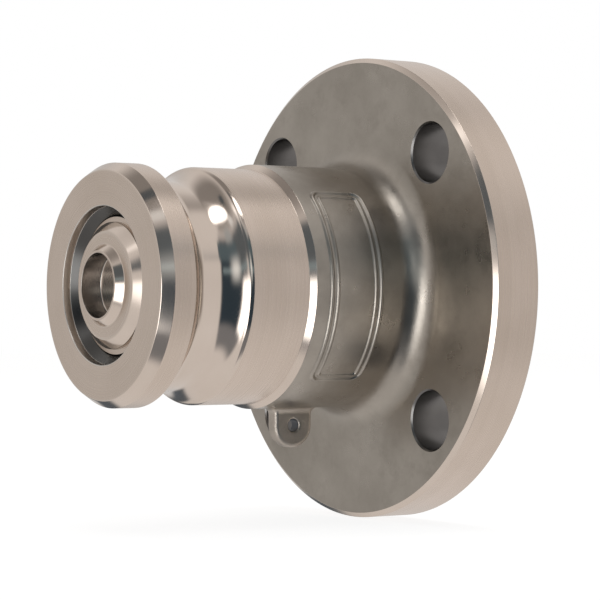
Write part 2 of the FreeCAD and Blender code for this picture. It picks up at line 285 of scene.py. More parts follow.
def mouldedPart(name, light, dark, rough, grain, grainDepth):
    # plastic or rubber: no metal, a fine moulded grain and a slight unevenness of colour
    material, tree, shader = newMetal(name, rough)
    shader.inputs["Metallic"].default_value = 0.0
    where = addNode(tree, "ShaderNodeTexCoord").outputs["Object"]
    fine = addNoise(tree, where, grain, 2.0)
    cloud = addNoise(tree, where, cloudSize, 4.0)
    colour = addNode(tree, "ShaderNodeMix",
                     {"data_type": "RGBA", 6: hexColour(dark), 7: hexColour(light)}, {0: cloud})
    tree.links.new(colour.outputs[2], shader.inputs["Base Color"])
    bump = addNode(tree, "ShaderNodeBump", {"Distance": grainDepth * mm}, {"Height": fine})
    tree.links.new(bump.outputs[0], shader.inputs["Normal"])
    return material


# turned straight or faced at a fine feed: warm grey with a soft, even sheen
turnedSteel = machinedStainless("turnedStainless", "#dacbbf", "#d1c2b5", 0.28, latheFeed["depth"])
# slopes and groove gone over again at a finer feed: nearly a mirror, so the room's windows show in it
polishedSteel = machinedStainless("fineTurnedStainless", "#dccfc4", "#d3c5b9", 0.13, 0.0006)
# bored and drilled walls of the body: the colour is darkened as painted shade for the holes and the bore,
# and the tool's rings show
shadedBoreSteel = machinedStainless("boredStainlessPaintedShade", "#7f7d7b", "#6f6d6c", 0.3, 0.006)
# the lug's small hole, drilled: a dark, cold grey painted in as shade inside the hole
shadedDrillSteel = machinedStainless("drilledStainlessPaintedShade", "#5d5f63", "#505256", 0.3, 0.004)
# lapped seat behind the poppet's head: smooth, and darkened as painted shade where little light gets in
shadedSeatSteel = machinedStainless("lappedSeatStainlessPaintedShade", "#5c5b59", "#51504f", 0.24, 0.0015)
# reamed mouth: pale and silky, with shallow rings
mouthSteel = machinedStainless("reamedMouthStainless", "#dcd7d1", "#d0cbc5", 0.28, 0.0015)
# reamed cup wall: greyer than the mouth, with a tighter shine
cupSteel = machinedStainless("reamedCupStainless", "#aca8a3", "#9c9894", 0.2, 0.0015)
# cast and shot-blasted skin: dull brownish grey with grit and soft waves
castSteel = castStainless("castStainless", castFinish)
# the lug's skin, blasted harder from both sides: duller than the neck's, and a paler copy of its colour as
# painted light on the lug's faces
litLugFinish = {**castFinish, "light": "#cac1b7", "dark": "#bcb3a9", "rough": 0.46}
litLugSteel = castStainless("castLugStainlessPaintedLight", litLugFinish)
# drawn wire: smooth and satin, a middling grey
drawnWire = machinedStainless("drawnSpringWire", "#b3ada6", "#9f9992", 0.26, 0.002)
# stamped and tumbled spring steel: dark grey and dull
stampedSteel = machinedStainless("stampedSpringSteel", "#8c8a88", "#7a7876", 0.36, 0.003)
# moulded rubber: black and satin, with the mould's fine grain
sealRubber = mouldedPart("mouldedFluoroRubber", "#1c1b1b", "#121212", 0.5, 0.3, 0.01)
# machined PTFE: off-white and waxy
bushingPlastic = mouldedPart("machinedPtfe", "#ece8dd", "#e0dccf", 0.45, 0.4, 0.01)
print("materials made")


# the body: one casting with a machined nose

bodySizes = {
    "rimRadius": 38.3, "rimLength": 7.7, "rimEdge": 0.5, "bevelRadius": 2.4, "bevelLength": 2.95,
    "noseEdge": 0.7, "grooveDepth": 4.6, "grooveBackSlope": 50, "grooveBackRound": 10.5,
    "grooveFrontSlope": 75, "grooveFrontRound": 6.0,
    "shoulderRadius": 37.9, "shoulderLength": 21.2, "shoulderEdge": 2.0,
    "neckRadius": 39.5, "neckLength": 41.1, "neckBevel": 1.8, "neckEdge": 0.25, "neckFillet": 8.5,
    "flangeDisc": 17.45, "frontBevelRadius": 1.5, "frontBevelLength": 1.2, "backBevel": 0.7,
    "raisedRadius": 46.05, "raisedHeight": 1.6,
    "serrationPitch": 0.8, "serrationDepth": 0.06, "serrationMargin": 1.2,
    "mouthRadius": 24.8, "mouthDepth": 2.6, "mouthEdge": 0.3, "throatRadius": 22.0, "throatLength": 1.5,
    "chamberRadius": 29.0, "chamberRound": 2.0, "boreRadius": 31.5, "boreDepth": 18.0, "boreBevel": 1.0,
    "ringGrooveDepth": 1.5, "ringFront": -9.5, "ringBack": -7.3,
    "boltCircle": 60.325, "boltCount": 4, "boltHole": 9.525, "boltEdge": 0.5, "boltSteps": 72, "steps": 192,
}


def bodyStations(s):
    # places along the axis, worked out from the sizes
    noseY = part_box("adapter_body")[0].y / mm
    backY = 0
    frontY = backY - s["flangeDisc"]
    neckY = frontY - s["neckLength"]
    shoulderBackY = neckY - s["neckBevel"]
    rimFrontY = noseY + s["noseEdge"] + s["bevelLength"]
    return {
        "nose": noseY, "mating": backY + s["raisedHeight"], "back": backY, "front": frontY,
        "neck": neckY, "shoulderBack": shoulderBackY,
        "shoulderFront": shoulderBackY - s["shoulderLength"],
        "rimFront": rimFrontY, "rimBack": rimFrontY + s["rimLength"],
        "throatFront": noseY + s["mouthDepth"] + s["mouthRadius"] - s["throatRadius"],
    }


def bodyCorners(s, at):
    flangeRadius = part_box("adapter_body")[1].x / mm
    grooveRadius = s["shoulderRadius"] - s["grooveDepth"]
    grooveBackY = at["shoulderFront"] - s["grooveDepth"] / math.tan(math.radians(s["grooveBackSlope"]))
    grooveFrontY = (at["rimBack"]
                    + (s["rimRadius"] - grooveRadius) / math.tan(math.radians(s["grooveFrontSlope"])))
    throatBackY = at["throatFront"] + s["throatLength"]
    corners = [
        (at["nose"], s["rimRadius"] - s["bevelRadius"], s["noseEdge"], 6),
        (at["rimFront"], s["rimRadius"], *sharpEdge),
        (at["rimBack"], s["rimRadius"], s["rimEdge"], 6),
        (grooveFrontY, grooveRadius, s["grooveFrontRound"], 14),
        (grooveBackY, grooveRadius, s["grooveBackRound"], 30),
        (at["shoulderFront"], s["shoulderRadius"], s["shoulderEdge"], 8),
        (at["shoulderBack"], s["shoulderRadius"], *sharpEdge),
        (at["neck"], s["neckRadius"], s["neckEdge"], 4),
        (at["front"], s["neckRadius"], s["neckFillet"], 24),
        (at["front"], flangeRadius - s["frontBevelRadius"], *crispEdge),
        (at["front"] + s["frontBevelLength"], flangeRadius, *crispEdge),
        (at["back"] - s["backBevel"], flangeRadius, *keenEdge),
        (at["back"], flangeRadius - s["backBevel"], *keenEdge),
        (at["back"], s["raisedRadius"], *brokenEdge),
        (at["mating"], s["raisedRadius"], *crispEdge),
    ]
    # fine concentric serrations on the raised face, for the gasket
    r = s["raisedRadius"] - s["serrationMargin"]
    while r > s["boreRadius"] + s["boreBevel"] + s["serrationPitch"]:
        corners += [(at["mating"], r), (at["mating"] - s["serrationDepth"], r - s["serrationPitch"] / 2)]
        r -= s["serrationPitch"]
    corners += [
        (at["mating"], s["boreRadius"] + s["boreBevel"]),
        (at["mating"] - s["boreBevel"], s["boreRadius"]),
        (s["ringBack"], s["boreRadius"]),
        (s["ringBack"], s["boreRadius"] + s["ringGrooveDepth"]),
        (s["ringFront"], s["boreRadius"] + s["ringGrooveDepth"]),
        (s["ringFront"], s["boreRadius"]),
        (at["mating"] - s["boreDepth"], s["boreRadius"], *dullEdge),
        (at["mating"] - s["boreDepth"], s["chamberRadius"], *dullEdge),
        (throatBackY + s["chamberRadius"] - s["throatRadius"], s["chamberRadius"], s["chamberRound"], 6),
        (throatBackY, s["throatRadius"], *crispEdge),
        (at["throatFront"], s["throatRadius"], *brokenEdge),
        (at["nose"] + s["mouthDepth"], s["mouthRadius"], *brokenEdge),
        (at["nose"], s["mouthRadius"], s["mouthEdge"], 4),
    ]
    return corners


def boltCutters(s, at):
    # drilled holes that straddle the centre lines, each with its front edge broken
    wide = s["boltHole"] + s["boltEdge"]
    startY = at["front"] - 2 * overcut
    endY = at["back"] + overcut
    corners = [
        (startY, 0), (startY, wide), (at["front"], wide),
        (at["front"] + s["boltEdge"], s["boltHole"]), (endY, s["boltHole"]), (endY, 0),
    ]
    cutters = []
    for i in range(s["boltCount"]):
        angle = math.radians(360 / s["boltCount"] * (i + 0.5))
        cutter = turnedPiece(f"boltCutter{i}", corners, s["boltSteps"], closed=False)
        shift = Vector((math.cos(angle), 0, math.sin(angle))) * s["boltCircle"] * mm
        cutter.data.transform(Matrix.Translation(shift))
        cutters.append(cutter)
    return cutters


# limits that sort the faces into finishes: lengths in millimetres, then shares of a face's normal
regionLimits = {
    "touch": 0.01, "inside": 0.1, "mouthLip": 0.4, "grooveLip": 0.3, "holeRing": 1, "bevelFrom": 12,
    "rimFrom": 75, "backFrom": 0.9, "hole": 0.05,
    "level": 0.02, "upright": 0.995, "wall": 0.9, "across": 0.5, "slope": 0.03,
}


def bodyRegion(s, at, limit):
    # which finish each face has: 0 cast, 1 turned, 2 fine turned, 3 bored with painted shade, 4 valve seat
    # with painted shade, 5 reamed mouth
    insideRadius = s["boreRadius"] + s["ringGrooveDepth"] + limit["inside"]

    def rule(face):
        centre = face.calc_center_median() / mm
        normal = face.normal
        r = math.hypot(centre.x, centre.z)
        outward = (normal.x * centre.x + normal.z * centre.z) / max(r, tiny / mm)
        isWall = abs(normal.y) < limit["wall"]
        if r < insideRadius and outward <= limit["level"] and centre.y > at["throatFront"]:
            return 3
        if centre.y < at["shoulderBack"]:
            if r < s["mouthRadius"] + limit["mouthLip"]:
                return 4 if centre.y > at["nose"] + s["mouthDepth"] + limit["inside"] else 5
            isFlat = abs(outward) < limit["level"] or abs(outward) > limit["upright"]
            inGroove = (at["rimBack"] < centre.y < at["shoulderFront"]
                        and r < s["rimRadius"] - limit["grooveLip"])
            return 1 if isFlat and not inGroove else 2
        if centre.y < at["neck"] + limit["touch"]:
            return 2
        pastFront = centre.y > at["front"] + limit["touch"]
        onBevel = pastFront and centre.y < at["front"] + s["frontBevelLength"]
        if onBevel and r > s["boltCircle"] + limit["bevelFrom"]:
            return 2
        if r > limit["rimFrom"] or centre.y > at["back"] - limit["backFrom"]:
            inHole = abs(r - s["boltCircle"]) < s["boltHole"] + limit["holeRing"]
            return 3 if inHole and isWall else 1
        return 3 if isWall and pastFront else 0
    return rule


lugSizes = {
    "length": 14.5, "thickness": 5.0, "drop": 12.8, "edge": 1.4, "edgeSegments": 6, "arcSteps": 32,
    "setback": 8.9, "flare": 2.0, "flareSteps": 8, "sunk": 1.5,
    "holeRadius": 2.1, "holeEdge": 0.3, "dishRadius": 2.8, "dishDepth": 0.5, "dishEdge": 0.2,
    "dishSpread": 1.0, "dishLift": 0.05, "drillSegments": 4, "drillSteps": 48,
}


def lugCentre(s, at):
    # middle of the lug's round end, as (along the axis, height)
    return (at["neck"] + s["setback"] + s["length"] / 2,
            -bodySizes["neckRadius"] - s["drop"] + s["length"] / 2)


def lugPlate(s, centreY, centreZ, rootZ):
    # D-shaped tab with well rounded rims; its top stays open for the flared root
    half, left = s["length"] / 2, -s["thickness"] / 2
    bm = bmesh.new()
    outline = [(centreY - half, rootZ)]
    for i in range(s["arcSteps"] + 1):
        angle = math.pi * i / s["arcSteps"]
        outline.append((centreY - half * math.cos(angle), centreZ - half * math.sin(angle)))
    outline += [(centreY + half, rootZ)]
    verts = [bm.verts.new((left * mm, y * mm, z * mm)) for y, z in outline]
    plate = bm.faces.new(verts)
    grown = bmesh.ops.extrude_face_region(bm, geom=[plate])
    moved = [v for v in grown["geom"] if isinstance(v, bmesh.types.BMVert)]
    bmesh.ops.translate(bm, verts=moved, vec=(s["thickness"] * mm, 0, 0))
    bmesh.ops.recalc_face_normals(bm, faces=bm.faces)
    rims = [e for e in bm.edges if abs(e.verts[0].co.x - e.verts[1].co.x) < tiny
            and min(v.co.z for v in e.verts) < rootZ * mm - tiny]
    bmesh.ops.bevel(bm, geom=rims, offset=s["edge"] * mm, offset_type="OFFSET", segments=s["edgeSegments"],
                    profile=0.5, affect="EDGES", clamp_overlap=False, material=-1)
    top = [f for f in bm.faces if all(abs(v.co.z - rootZ * mm) < tiny for v in f.verts)]
    bmesh.ops.delete(bm, geom=top, context="FACES_ONLY")
    return bm


def flareRoot(bm, s, neckRadius):
    # rings that spread from the tab's top on to the neck like a cast fillet
    loop = [e for e in bm.edges if len(e.link_faces) == 1]
    towards = {}
    for edge in loop:
        a, b = edge.verts
        normal = edge.link_faces[0].normal
        sideways = Vector((normal.x, normal.y, 0)).normalized()
        for vert in (a, b):
            towards[vert] = towards.get(vert, Vector()) + sideways
    steps = s["flareSteps"]
    start = {v: (v.co.copy(), n.normalized()) for v, n in towards.items()}
    for i in range(1, steps + 1):
        turned = math.pi / 2 * i / steps
        spread = s["flare"] * (1 - math.cos(turned)) * mm
        height = (neckRadius + s["flare"] * (1 - math.sin(turned))) * mm
        grown = bmesh.ops.extrude_edge_only(bm, edges=loop)["geom"]
        loop = [e for e in grown if isinstance(e, bmesh.types.BMEdge)]
        following = {}
        for vert in [v for v in grown if isinstance(v, bmesh.types.BMVert)]:
            source = min(start, key=lambda v: (v.co - vert.co).length)
            place, normal = start[source]
            vert.co = place + normal * spread
            vert.co.z = -math.sqrt(max(height ** 2 - vert.co.x ** 2, 0))
            following[vert] = (place, normal)
        start = following
        loop = [e for e in loop if len(e.link_faces) == 1 and all(v in start for v in e.verts)]


def closeRoot(bm, depthRadius):
    # a flat end inside the neck's metal, so that the lug is a closed body
    rim = [e for e in bm.edges if len(e.link_faces) == 1]
    grown = bmesh.ops.extrude_edge_only(bm, edges=rim)["geom"]
    for vert in [v for v in grown if isinstance(v, bmesh.types.BMVert)]:
        vert.co.z = -depthRadius * mm
    bmesh.ops.holes_fill(bm, edges=[e for e in bm.edges if len(e.link_faces) == 1], sides=0)


def makeLug(s, at):
    centreY, centreZ = lugCentre(s, at)
    rootZ = -(bodySizes["neckRadius"] + s["flare"])
    bm = lugPlate(s, centreY, centreZ, rootZ)
    flareRoot(bm, s, bodySizes["neckRadius"])
    closeRoot(bm, bodySizes["neckRadius"] - s["sunk"])
    bmesh.ops.recalc_face_normals(bm, faces=bm.faces)
    lug = looseObject(bm, "chainLug")
    # the drill's outline on one side of the plate's middle, from the hole out
    side = [
        (s["thickness"] / 2 - s["dishDepth"], s["holeRadius"], s["holeEdge"], s["drillSegments"]),
        (s["thickness"] / 2 + s["dishLift"], s["dishRadius"], s["dishEdge"], s["drillSegments"]),
        (s["thickness"], s["dishRadius"] + s["dishSpread"]),
        (s["thickness"], 0),
    ]
    corners = [(-row[0], *row[1:]) for row in reversed(side)] + side
    drill = turnedPiece("lugDrill", corners, s["drillSteps"], closed=False)
    place = Matrix.Translation((0, centreY * mm, centreZ * mm))
    drill.data.transform(place @ Matrix.Rotation(math.pi / 2, 4, "Z"))
    return booleanWith(lug, [drill], "DIFFERENCE")


def lugRegion(s, at, limit):
    # 0 cast, paler as painted light, 1 the drilled hole's wall, darkened as painted shade
    centreY, centreZ = lugCentre(s, at)

    def rule(face):
        centre = face.calc_center_median() / mm
        away = math.hypot(centre.y - centreY, centre.z - centreZ)
        return 1 if away < s["holeRadius"] + limit["hole"] and abs(face.normal.x) < limit["across"] else 0
    return rule


panelSizes = {
    "length": 20.0, "halfHeight": 30.0, "corner": 4.0, "rim": 1.1, "gap": 1.3, "proud": 0.5,
    "innerRim": 0.77, "setback": 5.2, "blend": 0.5, "sunk": 0.12, "cornerSteps": 8, "longestStep": 1.5,
    # the bead from foot to crown: shares of (half its width, the blend, its height)
    "bead": [(1, 0.5, 0.08), (1, 0, 0.35), (0.75, 0, 0.8), (0.4, 0, 1)],
}


def roundedPath(s, centreY, halfY, halfS, corner):
    # closed path of (y, distance round the neck) with the direction to its outside
    path = []
    for sideY, sideS, first in ((1, 1, 0), (-1, 1, 90), (-1, -1, 180), (1, -1, 270)):
        for i in range(s["cornerSteps"] + 1):
            angle = math.radians(first + 90 * i / s["cornerSteps"])
            n = (math.cos(angle), math.sin(angle))
            path.append((centreY + sideY * (halfY - corner) + corner * n[0],
                         sideS * (halfS - corner) + corner * n[1], n))
    filled = []
    for i, point in enumerate(path):
        following = path[(i + 1) % len(path)]
        span = math.hypot(following[0] - point[0], following[1] - point[1])
        parts = max(1, round(span / s["longestStep"]))
        for k in range(parts):
            f = k / parts
            filled.append((point[0] + (following[0] - point[0]) * f,
                           point[1] + (following[1] - point[1]) * f, point[2]))
    return filled


def panelBead(bm, s, path, width):
    # soft raised rim wrapped on the neck, its feet blended into the skin
    radius = bodySizes["neckRadius"]
    half, blend = width / 2, s["blend"]
    rise = [(half + blend, -s["sunk"])]
    rise += [(half * across + blend * past, s["proud"] * high) for across, past, high in s["bead"]]
    section = [(-across, height) for across, height in rise] + rise[::-1]
    rows = []
    for y, along, n in path:
        row = []
        for offset, height in section:
            angle = (along + (offset - half) * n[1]) / radius
            r = (radius + height) * mm
            placeY = (y + (offset - half) * n[0]) * mm
            row.append(bm.verts.new((r * math.cos(angle), placeY, r * math.sin(angle))))
        rows.append(row)
    for a, b in zip(rows, rows[1:] + rows[:1]):
        for i in range(len(section)):
            following = (i + 1) % len(section)
            bm.faces.new((a[i], a[following], b[following], b[i]))


def makePanel(s, at):
    centreY = at["neck"] + s["setback"] + s["length"] / 2
    halfY = s["length"] / 2
    halfS = math.asin(s["halfHeight"] / bodySizes["neckRadius"]) * bodySizes["neckRadius"]
    step = s["rim"] + s["gap"]
    bm = bmesh.new()
    for inset, width in ((0, s["rim"]), (step, s["innerRim"])):
        path = roundedPath(s, centreY, halfY - inset, halfS - inset, s["corner"] - inset)
        panelBead(bm, s, path, width)
    bmesh.ops.recalc_face_normals(bm, faces=bm.faces)
    return looseObject(bm, "castPanelRims")


bodyAt = bodyStations(bodySizes)
body = turnedPiece("adapterBody", bodyCorners(bodySizes, bodyAt), bodySizes["steps"])
booleanWith(body, boltCutters(bodySizes, bodyAt), "DIFFERENCE")
dressPiece(body, "housing",
           [castSteel, turnedSteel, polishedSteel, shadedBoreSteel, shadedSeatSteel, mouthSteel],
           node="adapter_body", region=bodyRegion(bodySizes, bodyAt, regionLimits))
lug = makeLug(lugSizes, bodyAt)
dressPiece(lug, "housing", [litLugSteel, shadedDrillSteel], node="adapter_body",
           region=lugRegion(lugSizes, bodyAt, regionLimits), sharp=60)
panel = makePanel(panelSizes, bodyAt)
dressPiece(panel, "housing", [castSteel], node="adapter_body", sharp=80)
print("body made:", len(body.data.polygons), "faces")


# the poppet head in the mouth

headSizes = {
    "cupRadius": 10.15, "cupDepth": 7.0, "lip": 0.75, "proud": 1.4, "bossBase": 12.9,
    "faceRadius": 16.7, "faceDepth": 1.0, "faceEdge": 1.5, "flankRadius": 19.9, "flankDepth": 3.7,
    "ringDepth": 4.9, "ringClearance": 0.4, "sealGap": 0.3, "sealThick": 2.9, "spigot": 15.0,
    "bossRadius": 9.0, "stemRadius": 5.0, "stemBore": 11.0, "steps": 160,
}


def headCorners(s, at):
    lipY = at["nose"] - s["proud"]
    faceY = at["nose"] + s["faceDepth"]
    ringRadius = bodySizes["throatRadius"] - s["ringClearance"]
    sealY = at["throatFront"] + bodySizes["throatLength"] + s["sealGap"]
    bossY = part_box("poppet_head")[1].y / mm
    return [
        (lipY + s["cupDepth"], 0),
        (lipY + s["cupDepth"], s["cupRadius"], *fullEdge),
        (lipY, s["cupRadius"], *sharpEdge),
        (lipY, s["cupRadius"] + s["lip"], *crispEdge),
        (faceY, s["bossBase"], *fullEdge),
        (faceY, s["faceRadius"], s["faceEdge"], 8),
        (at["nose"] + s["flankDepth"], s["flankRadius"], *brokenEdge),
        (at["nose"] + s["ringDepth"], s["flankRadius"], *keenEdge),
        (at["nose"] + s["ringDepth"], ringRadius, *softEdge),
        (sealY, ringRadius, *keenEdge),
        (sealY, s["spigot"]),
        (sealY + s["sealThick"], s["spigot"]),
        (sealY + s["sealThick"], s["bossRadius"]),
        (bossY, s["bossRadius"], *roundEdge),
        (bossY, s["stemRadius"]),
        (bossY - s["stemBore"], s["stemRadius"]),
        (bossY - s["stemBore"], 0),
    ]


def headRegion(at, limit):
    # 0 soft turned on flat faces, 1 fine turned on round and sloped ones, 2 reamed on the cup's wall
    def rule(face):
        centre = face.calc_center_median()
        r = math.hypot(centre.x, centre.z)
        outward = (face.normal.x * centre.x + face.normal.z * centre.z) / max(r, tiny)
        if outward < -limit["across"] and centre.y < at["throatFront"] * mm:
            return 2
        return 0 if abs(outward) < limit["slope"] else 1
    return rule


head = turnedPiece("poppetHead", headCorners(headSizes, bodyAt), headSizes["steps"], closed=False)
dressPiece(head, "poppet", [turnedSteel, polishedSteel, cupSteel],
           node="poppet_head", region=headRegion(bodyAt, regionLimits))
print("poppet head made")


# seal, retainer, washer, nut and stem behind the head

def nodeSpan(node):
    # where a node starts and ends along the axis, in millimetres
    low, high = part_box(node)
    return low.y / mm, high.y / mm


clearance = 0.05  # all round, between the boss or stem and what fits on it, in millimetres
bossBore = headSizes["bossRadius"] + clearance  # what sits on the head's rear boss

sealSizes = {"edge": 0.25, "edgeSegments": 4, "steps": 128}


def makeSeal(s):
    # the 45 degree flank stays the seal gap off the valve seat, which slopes the same way
    front, back = nodeSpan("poppet_seal")
    frontRadius = round(bodySizes["throatRadius"] + headSizes["sealGap"] * (1 - math.sqrt(2)), 3)
    backRadius = frontRadius + headSizes["sealThick"]
    edge = (s["edge"], s["edgeSegments"])
    return turnedPiece("poppetSeal", [
        (front, headSizes["spigot"]), (front, frontRadius, *edge),
        (back, backRadius, *edge), (back, headSizes["spigot"]),
    ], s["steps"])


retainerSizes = {
    "radius": 24.2, "thickness": 3.0, "bevel": 1.2, "hubRadius": 14.8, "hubRound": 0.4, "steps": 128,
}


def makeRetainer(s):
    front, back = nodeSpan("seal_retainer")
    faceY = front + s["thickness"]
    return turnedPiece("sealRetainer", [
        (front, bossBore), (front, s["radius"], *keenEdge),
        (faceY - s["bevel"], s["radius"], *keenEdge), (faceY, s["radius"] - s["bevel"], *keenEdge),
        (faceY, s["hubRadius"], s["hubRound"], 4), (back, s["hubRadius"], *softEdge),
        (back, bossBore, *brokenEdge),
    ], s["steps"])


washerSizes = {"radius": 13.0, "slit": 1.2, "steps": 95}


def openRing(name, corners, openAt, openHalf, steps):
    # part turn with both ends closed; the gap is centred openAt radians round from +X towards -Z
    bm = profileWire(corners)
    toGap = Matrix.Rotation(openAt + openHalf, 3, "Y")
    bmesh.ops.rotate(bm, verts=bm.verts, cent=(0, 0, 0), matrix=toGap)
    bmesh.ops.spin(bm, geom=bm.verts[:] + bm.edges[:], cent=(0, 0, 0), axis=(0, 1, 0), dvec=(0, 0, 0),
                   angle=turn - 2 * openHalf, steps=steps, use_merge=False, use_duplicate=False)
    bmesh.ops.remove_doubles(bm, verts=bm.verts, dist=tiny)
    bmesh.ops.holes_fill(bm, edges=[e for e in bm.edges if len(e.link_faces) == 1], sides=0)
    bmesh.ops.recalc_face_normals(bm, faces=bm.faces)
    return looseObject(bm, name)


def makeLockWasher(s):
    front, back = nodeSpan("lock_washer")
    corners = [(front, bossBore, *keenEdge), (front, s["radius"], *keenEdge),
               (back, s["radius"], *keenEdge), (back, bossBore, *keenEdge)]
    half = math.asin(s["slit"] / (bossBore + s["radius"]))
    return openRing("lockWasher", corners, -math.pi / 2, half, s["steps"])


nutSizes = {
    "sides": 6, "acrossFlats": 24.0, "boreBevel": 0.7, "cornerSlope": 0.6, "blankOver": 0.01,
    "blankSteps": 96, "drillSteps": 72,
}


def makeNut(s):
    front, back = nodeSpan("retainer_nut")
    corner = s["acrossFlats"] / math.sqrt(3)
    bevel = corner - s["acrossFlats"] / 2
    bm = bmesh.new()
    bmesh.ops.create_cone(bm, cap_ends=True, segments=s["sides"], radius1=corner * mm,
                          radius2=corner * mm, depth=(back - front) * mm)
    # hexagon turned so that corners point to +X and its axis lies along Y
    bmesh.ops.rotate(bm, verts=bm.verts, cent=(0, 0, 0), matrix=Matrix.Rotation(math.pi / 2, 3, "X"))
    bmesh.ops.translate(bm, verts=bm.verts, vec=(0, (front + back) / 2 * mm, 0))
    nut = looseObject(bm, "retainerNut")
    # the turned blank takes the hexagon's corners off on both faces
    rise = bevel * s["cornerSlope"]
    blank = turnedPiece("nutBlank", [
        (front, 0), (front, corner - bevel), (front + rise, corner + s["blankOver"]),
        (back - rise, corner + s["blankOver"]), (back, corner - bevel), (back, 0),
    ], s["blankSteps"], closed=False)
    booleanWith(nut, [blank], "INTERSECT")
    wide = bossBore + s["boreBevel"]
    drill = turnedPiece("nutDrill", [
        (front - overcut, 0), (front - overcut, wide), (front, wide), (front + s["boreBevel"], bossBore),
        (back - s["boreBevel"], bossBore), (back, wide), (back + overcut, wide), (back + overcut, 0),
    ], s["drillSteps"], closed=False)
    return booleanWith(nut, [drill], "DIFFERENCE")


stemSizes = {
    "radius": 6.5, "tailRadius": 5.0, "shoulderY": -49.7, "tailBevel": 1.0, "centreHole": 1.4,
    "centreSlope": 1.6, "steps": 72,
}


def makeStem(s):
    front, back = nodeSpan("poppet_stem")
    bossY = nodeSpan("poppet_head")[1]
    return turnedPiece("poppetStem", [
        (front, 0), (front, s["tailRadius"] - clearance), (bossY, s["tailRadius"] - clearance),
        (bossY, s["radius"]), (s["shoulderY"], s["radius"], *fullEdge), (s["shoulderY"], s["tailRadius"]),
        (back - s["tailBevel"], s["tailRadius"], *brokenEdge),
        (back, s["tailRadius"] - s["tailBevel"], *keenEdge),
        (back, s["centreHole"], *hairEdge), (back - s["centreHole"] * s["centreSlope"], 0),
    ], s["steps"], closed=False)


# ground between centres: bright and smooth, with the finest marks
groundSteel = machinedStainless("groundStemSteel", "#cfc9c2", "#bfb8b0", 0.16, 0.001)
# turned from hexagon bar: a plain satin grey
nutSteel = machinedStainless("turnedNutSteel", "#c2b9af", "#aea59b", 0.32, 0.004)
# turned at a coarse feed: duller than the nut, with rings that show
retainerSteel = machinedStainless("turnedRetainerSteel", "#c4b8ac", "#b3a79b", 0.34, 0.005)
dressPiece(makeSeal(sealSizes), "poppet", [sealRubber], node="poppet_seal")
dressPiece(makeRetainer(retainerSizes), "poppet", [retainerSteel], node="seal_retainer")
dressPiece(makeLockWasher(washerSizes), "poppet", [drawnWire], node="lock_washer")
dressPiece(makeNut(nutSizes), "poppet", [nutSteel], node="retainer_nut")
dressPiece(makeStem(stemSizes), "poppet", [groundSteel], node="poppet_stem")
print("poppet train made")


# return spring and its seat

springSizes = {
    "wire": 1.6, "mean": 17.0, "turns": 7.5, "closed": 1.0, "closedGap": 0.064, "grind": 0.8,
    "endGap": 0.01, "perTurn": 72, "round": 20,
}


def makeSpring(s):
    # wire section spun into closed turns at both ends with an even pitch between them, then ground flat
    front = nodeSpan("seal_retainer")[0] + retainerSizes["thickness"]
    back = nodeSpan("spring_seat")[0]
    length = back - front
    endCentre = s["wire"] - s["grind"]
    closedPitch = 2 * s["wire"] + s["closedGap"]
    active = s["turns"] - 2 * s["closed"]
    pitch = (length - 2 * endCentre - 2 * s["closed"] * closedPitch) / active
    bm = bmesh.new()
    start = Matrix.Translation((s["mean"] * mm, (front + endCentre) * mm, 0))
    bmesh.ops.create_circle(bm, cap_ends=False, radius=s["wire"] * mm, segments=s["round"], matrix=start)
    section = bm.verts[:] + bm.edges[:]
    for turns, rise in ((s["closed"], closedPitch), (active, pitch), (s["closed"], closedPitch)):
        steps = round(turns * s["perTurn"])
        section = bmesh.ops.spin(bm, geom=section, cent=(0, 0, 0), axis=(0, 1, 0), angle=-turns * turn,
                                 dvec=(0, rise * turns / steps * mm, 0), steps=steps, use_merge=False,
                                 use_duplicate=False)["geom_last"]
    for vert in bm.verts:
        vert.co.y = min(max(vert.co.y, (front + s["endGap"]) * mm), (back - s["endGap"]) * mm)
    bmesh.ops.holes_fill(bm, edges=[e for e in bm.edges if len(e.link_faces) == 1], sides=0)
    bmesh.ops.recalc_face_normals(bm, faces=bm.faces)
    return looseObject(bm, "returnSpring"), back, (length - travel / mm) / length


spring, springEnd, springKeep = makeSpring(springSizes)
dressPiece(spring, "housing", [drawnWire], node="return_spring", sharp=50)
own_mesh(spring)

seatSizes = {"bore": 9.6, "radius": 19.5, "edge": 0.2, "edgeSegments": 2, "steps": 96}


def makeSpringSeat(s):
    front, back = nodeSpan("spring_seat")
    edge = (s["edge"], s["edgeSegments"])
    return turnedPiece("springSeat", [
        (front, s["bore"], *edge), (front, s["radius"], *edge),
        (back, s["radius"], *edge), (back, s["bore"], *edge),
    ], s["steps"])


# stamped sheet, tumbled: a light satin grey
seatSteel = machinedStainless("stampedSeatSteel", "#b9b1a8", "#a69e95", 0.3, 0.003)
dressPiece(makeSpringSeat(seatSizes), "housing", [seatSteel], node="spring_seat")
print("spring made")


# guide spider, bushing and snap ring at the pipe end

spiderSizes = {
    "rimInner": 27.0, "rimOuter": 31.4, "rimLength": 7.0, "rimEdge": 0.3, "hubRadius": 9.5, "hubBore": 7.05,
    "arms": 3, "firstArm": 90, "armThick": 5.0, "armFront": -24.4, "armBack": -12.4, "armRoot": 0.5,
    "armShoulder": 19.6, "armTip": 29.2, "tipBevel": 2, "tipInset": 1.0, "armStop": 1.0,
    "voxel": 0.4, "smoothing": 0.5, "smoothPasses": 5, "rimSteps": 128, "hubSteps": 64, "boreSteps": 96,
}


